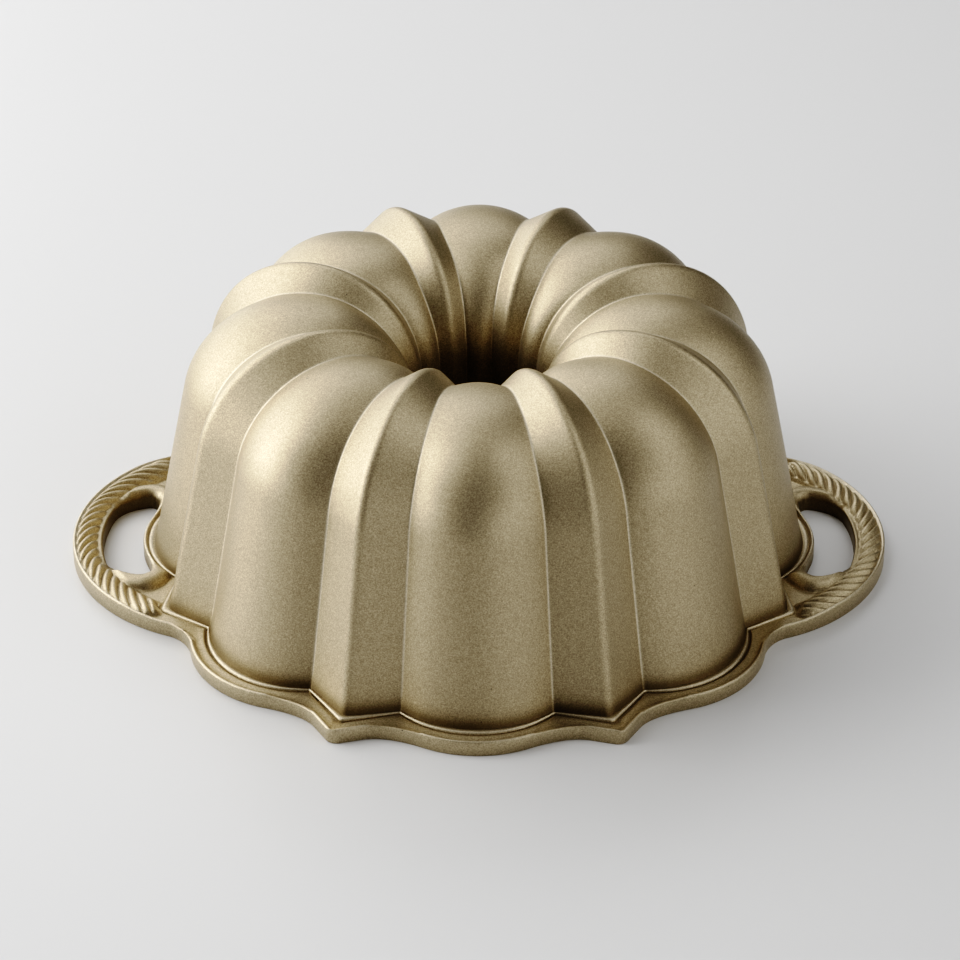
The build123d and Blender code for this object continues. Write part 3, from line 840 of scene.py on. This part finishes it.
def cast_metal():
    """Champagne-gold satin coating on cast metal: fine sparkling grain over soft unevenness."""
    m = bpy.data.materials.new("champagne_cast_coating")
    m.use_nodes = True
    nt = m.node_tree
    nt.nodes.clear()
    out = nt.nodes.new("ShaderNodeOutputMaterial")
    bsdf = add_node(nt, "ShaderNodeBsdfPrincipled",
                    {"Metallic": 0.9, "IOR": 1.5, "Coat Weight": 0.3, "Coat Roughness": 0.42})
    nt.links.new(bsdf.outputs["BSDF"], out.inputs["Surface"])
    where = nt.nodes.new("ShaderNodeTexCoord")
    grain = add_node(nt, "ShaderNodeTexNoise", {"Scale": 2000.0, "Detail": 2.0, "Roughness": 0.6})
    cloud = add_node(nt, "ShaderNodeTexNoise", {"Scale": 26.0, "Detail": 3.0, "Roughness": 0.55})
    flake = add_node(nt, "ShaderNodeTexVoronoi", {"Scale": 2300.0})
    pit = add_node(nt, "ShaderNodeTexVoronoi", {"Scale": 55.0})
    for texture in (grain, cloud, flake, pit):
        nt.links.new(where.outputs["Object"], texture.inputs["Vector"])
    speck = remap(nt, grain.outputs["Fac"], 0.3, 0.7, 0.0, 1.0)
    shade = blend(nt, speck, (0.53, 0.446, 0.305, 1.0), colour_a=(0.29, 0.24, 0.155, 1.0))
    # each mesh's painted light attribute: a painted highlight above nil, a painted shade, darker and
    # browner, below it
    painted_light = add_node(nt, "ShaderNodeAttribute", attribute_name="painted_light")
    painted_highlight = blend(nt, painted_light.outputs["Fac"], (0.92, 0.86, 0.72, 1.0), below=shade)
    shade_amount = add_node(nt, "ShaderNodeMath", {1: -1.0}, operation="MULTIPLY", use_clamp=True)
    nt.links.new(painted_light.outputs["Fac"], shade_amount.inputs[0])
    shaded_colour = blend(nt, shade_amount.outputs["Value"], (0.13, 0.095, 0.045, 1.0), below=painted_highlight)
    # flakes that sparkle, and a few tiny dark pits
    sparkle = remap(nt, flake.outputs["Color"], 0.0, 1.0, 0.86, 1.14)
    pits = remap(nt, pit.outputs["Distance"], 0.012, 0.022, 0.25, 1.0)
    level = add_node(nt, "ShaderNodeMath", operation="MULTIPLY")
    nt.links.new(sparkle, level.inputs[0])
    nt.links.new(pits, level.inputs[1])
    tint = add_node(nt, "ShaderNodeVectorMath", operation="SCALE")
    nt.links.new(shaded_colour, tint.inputs[0])
    nt.links.new(level.outputs["Value"], tint.inputs["Scale"])
    nt.links.new(tint.outputs["Vector"], bsdf.inputs["Base Color"])
    nt.links.new(remap(nt, cloud.outputs["Fac"], 0.25, 0.75, 0.47, 0.54), bsdf.inputs["Roughness"])
    bump = add_node(nt, "ShaderNodeBump", {"Strength": 0.5, "Distance": 0.00012})
    nt.links.new(grain.outputs["Fac"], bump.inputs["Height"])
    nt.links.new(bump.outputs["Normal"], bsdf.inputs["Normal"])
    return m


COAT = cast_metal()
for piece, nodes in pieces:
    piece.data.materials.append(COAT)
    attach(piece, "root")
    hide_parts(*nodes)


# ---------------------------------------------------------------- floor, light and camera (metres)
def floor_material():
    m = bpy.data.materials.new("pale_floor")
    m.use_nodes = True
    nt = m.node_tree
    b = nt.nodes["Principled BSDF"]
    b.inputs["Roughness"].default_value = 0.45
    tone = add_node(nt, "ShaderNodeTexNoise", {"Scale": 3.0, "Detail": 3.0, "Roughness": 0.5})
    nt.links.new(remap(nt, tone.outputs["Fac"], 0.0, 1.0, 0.655, 0.705), b.inputs["Base Color"])
    return m


bpy.ops.mesh.primitive_plane_add(size=12.0, location=(0, 0, 0))
floor = bpy.context.active_object
floor.name = "floor"
floor.data.materials.append(floor_material())

LIGHT_REACH = 1.7
LIGHT_AIM = Vector((0.0, 0.0, 0.05))


def softbox(name, height_angle, way, power, size):
    """A soft light at this angle above the floor, this way round from +X."""
    e, t = rad(height_angle), rad(way)
    data = bpy.data.lights.new(name, "AREA")
    data.shape = "RECTANGLE"
    data.size = size
    data.size_y = size * 0.85
    data.energy = power
    ob = bpy.data.objects.new(name, data)
    towards = Vector((math.cos(e) * math.cos(t), math.cos(e) * math.sin(t), math.sin(e)))
    ob.location = LIGHT_AIM + LIGHT_REACH * towards
    ob.rotation_euler = (-towards).to_track_quat("-Z", "Y").to_euler()
    bpy.context.collection.objects.link(ob)


world = bpy.data.worlds.new("studio")
world.use_nodes = True
world.node_tree.nodes["Background"].inputs["Color"].default_value = (0.95, 0.97, 1.0, 1.0)
world.node_tree.nodes["Background"].inputs["Strength"].default_value = 0.01
bpy.context.scene.world = world
# a tall window to the left and behind, seen as panes, with weak light from the right and above:
# name, angle above the floor, size, then the way round and the power of each pane
LIGHTS = (("window_low", 12, 0.9, ((120, 4.9), (150, 6.0), (180, 12.3), (210, 3.4))),
          ("window_high", 38, 0.8, ((90, 3.0), (120, 3.4), (150, 5.5), (180, 7.5))),
          ("right_low", 12, 0.9, ((300, 2.9), (330, 2.5), (0, 0.9))),
          ("right_high", 38, 0.8, ((330, 1.9), (0, 1.9))),
          ("overhead", 62, 0.85, ((0, 3.4), (120, 2.0), (180, 3.4))))
for row, height_angle, size, panes in LIGHTS:
    for way, power in panes:
        softbox("%s_%d" % (row, way), height_angle, way, power, size)

SENSOR_MM, LENS_MM = 36.0, 154.45125
TURN, TILT, AWAY = 0.286, 32.793, 1.5684
AIM = Vector((0.483 * MM, 0.0, 31.44 * MM))
back_way = Vector((math.sin(rad(TURN)) * math.cos(rad(TILT)), -math.cos(rad(TURN)) * math.cos(rad(TILT)),
                   math.sin(rad(TILT))))
camera_data = bpy.data.cameras.new("camera")
camera_data.sensor_width = SENSOR_MM
camera_data.lens = LENS_MM
camera = bpy.data.objects.new("camera", camera_data)
camera.location = AIM + back_way * AWAY
camera.rotation_euler = (-back_way).to_track_quat("-Z", "Y").to_euler()
bpy.context.collection.objects.link(camera)
bpy.context.scene.camera = camera

# the tones: darker shadows and a soft shoulder
TONES = ((0.04, 0.011), (0.08, 0.055), (0.13, 0.136), (0.19, 0.232), (0.27, 0.34), (0.38, 0.458),
         (0.5, 0.575), (0.61, 0.68), (0.75, 0.79), (0.9, 0.885))
WHITE = (1.0, 0.94)
view = bpy.context.scene.view_settings
view.view_transform = "Standard"
view.look = "None"
view.use_curve_mapping = True
points = view.curve_mapping.curves[3].points
for x, y in TONES:
    points.new(x, y)
points[len(TONES) + 1].location = WHITE
view.curve_mapping.update()
